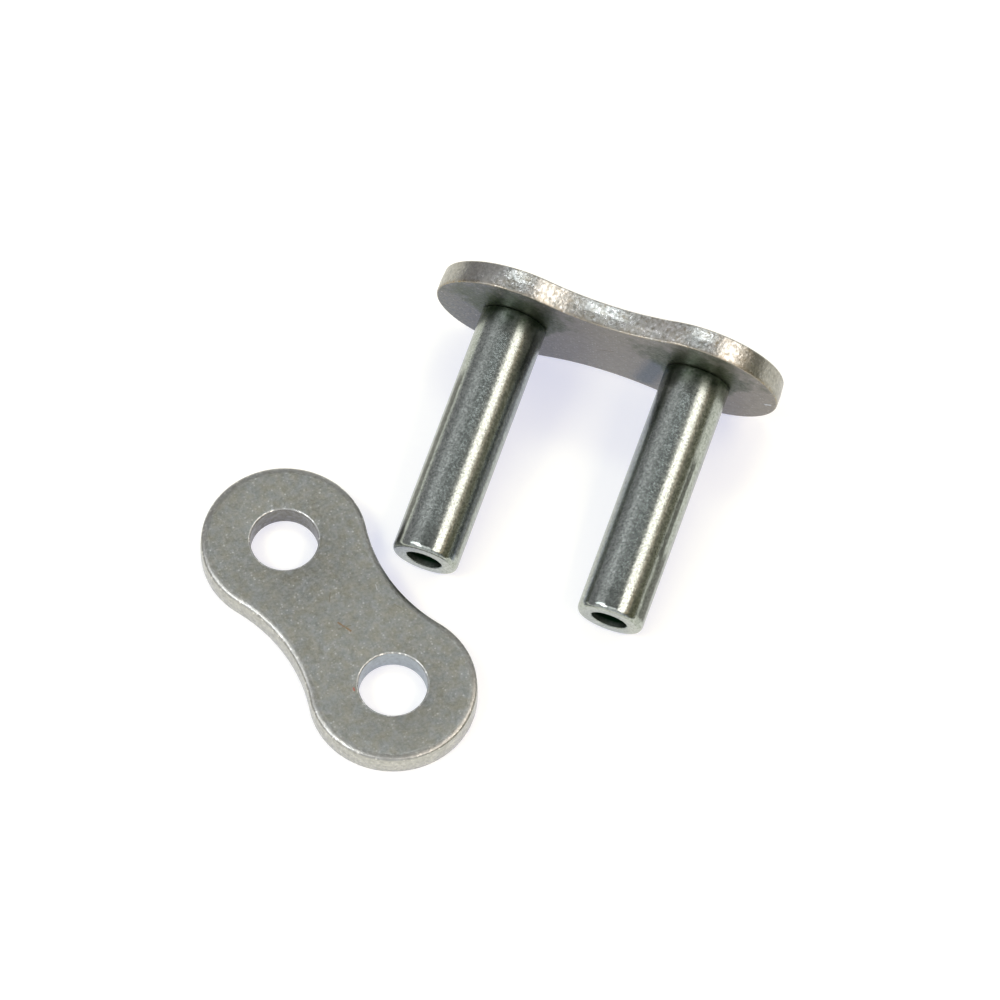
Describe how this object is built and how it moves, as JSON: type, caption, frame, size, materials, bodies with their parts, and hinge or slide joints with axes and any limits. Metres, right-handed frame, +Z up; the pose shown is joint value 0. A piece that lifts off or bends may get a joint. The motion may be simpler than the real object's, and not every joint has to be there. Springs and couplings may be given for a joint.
{
  "type": "rivet connecting link",
  "caption": "Roller chain connecting link to rivet: a waisted link plate with hollow-nosed pins riveted into it, and the matching plate lying loose beside their tips.",
  "frame": {"origin": "on the surface that both units lie on, under the middle of the box of the whole", "axes": "+Z up from that surface, +X from the left pin to the right pin; the pins point towards -Y and a little down"},
  "size_m": [0.0328, 0.0342, 0.011],
  "materials": {
    "plate_steel": "satin, tumbled",
    "pin_steel": "ground, semi-bright"
  },
  "bodies": {
    "root": {"pin_plate": "plate_steel", "left_pin": "pin_steel", "right_pin": "pin_steel", "side_plate": "plate_steel"}
  },
  "joints": []
}
